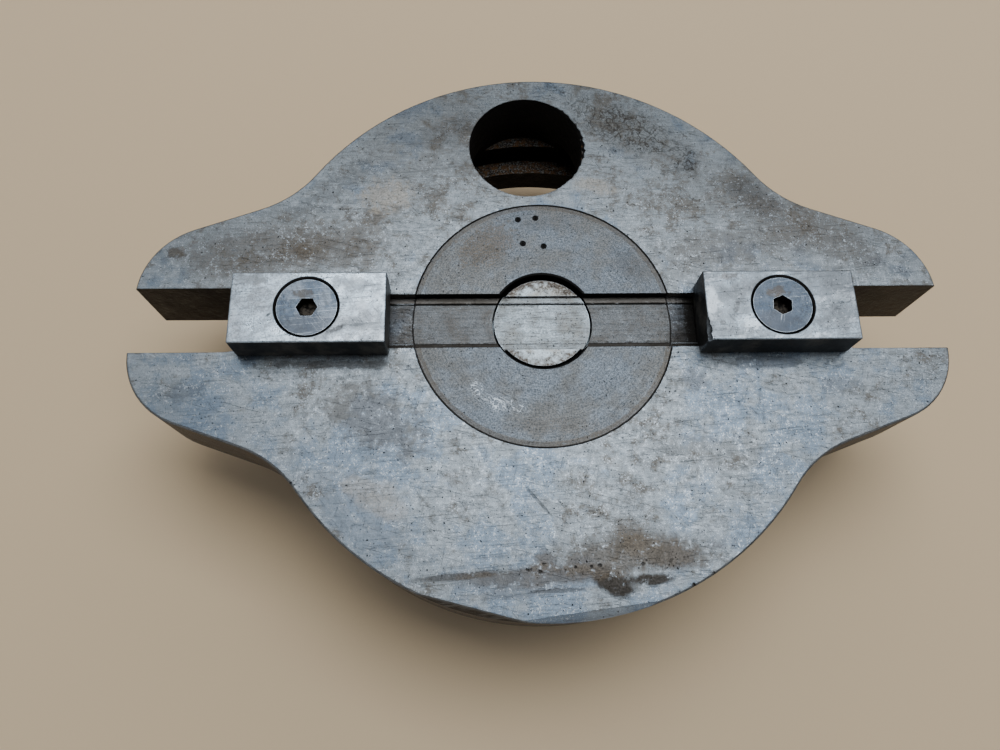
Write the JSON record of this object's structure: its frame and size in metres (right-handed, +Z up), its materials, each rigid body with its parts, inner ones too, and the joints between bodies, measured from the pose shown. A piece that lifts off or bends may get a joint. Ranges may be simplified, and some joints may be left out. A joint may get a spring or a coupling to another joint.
{
  "type": "machine vice swivel base",
  "caption": "Eye-shaped cast swivel base for a machine vice, upside down: open hold-down slots, tenon keys, central pivot and a circular T-slot with nuts.",
  "frame": {"origin": "on the swivel axis, at the free end of the pivot spigot that the base stands on", "axes": "+X along the tenon groove and the hold-down slots, +Y towards the T-nut access hole, +Z up out of the side that bolts to the machine table"},
  "size_m": [0.1784, 0.127, 0.0492],
  "materials": {
    "ground_casting": "ground face worn grey with oil stains, sides and back as cast",
    "disc_steel": "turned, worn",
    "pin_steel": "turned, bright",
    "tenon_steel": "ground, rubbed bright",
    "screw_steel": "blued, worn",
    "nut_steel": "oily dark",
    "bronze": "oily bronze"
  },
  "bodies": {
    "base": {"base_body": "ground_casting", "pivot_bush": "bronze", "thrust_washer": "bronze", "tenon_block_left": "tenon_steel", "tenon_block_right": "tenon_steel", "tenon_screw_left": "screw_steel", "tenon_screw_right": "screw_steel"},
    "pivot": {"pivot_disc": "disc_steel", "centre_pin": "pin_steel", "swivel_spigot": "disc_steel", "pivot_screws": "screw_steel", "pivot_dowels": "pin_steel"},
    "t_nut_left": {"t_nut_left": "nut_steel"},
    "t_nut_right": {"t_nut_right": "nut_steel"}
  },
  "joints": [
    {"name": "swivel", "type": "hinge", "parent": "base", "child": "pivot", "pos_m": [0, 0, 0.0127], "axis": [0, 0, 1], "continuous": true},
    {"name": "t_nut_left_travel", "type": "hinge", "parent": "base", "child": "t_nut_left", "pos_m": [0, 0, 0.0238], "axis": [0, 0, 1], "continuous": true},
    {"name": "t_nut_right_travel", "type": "hinge", "parent": "base", "child": "t_nut_right", "pos_m": [0, 0, 0.0238], "axis": [0, 0, 1], "continuous": true}
  ],
  "couplings": [
    {"joint": "t_nut_left_travel", "follows": "swivel", "ratio": 1},
    {"joint": "t_nut_right_travel", "follows": "swivel", "ratio": 1}
  ]
}
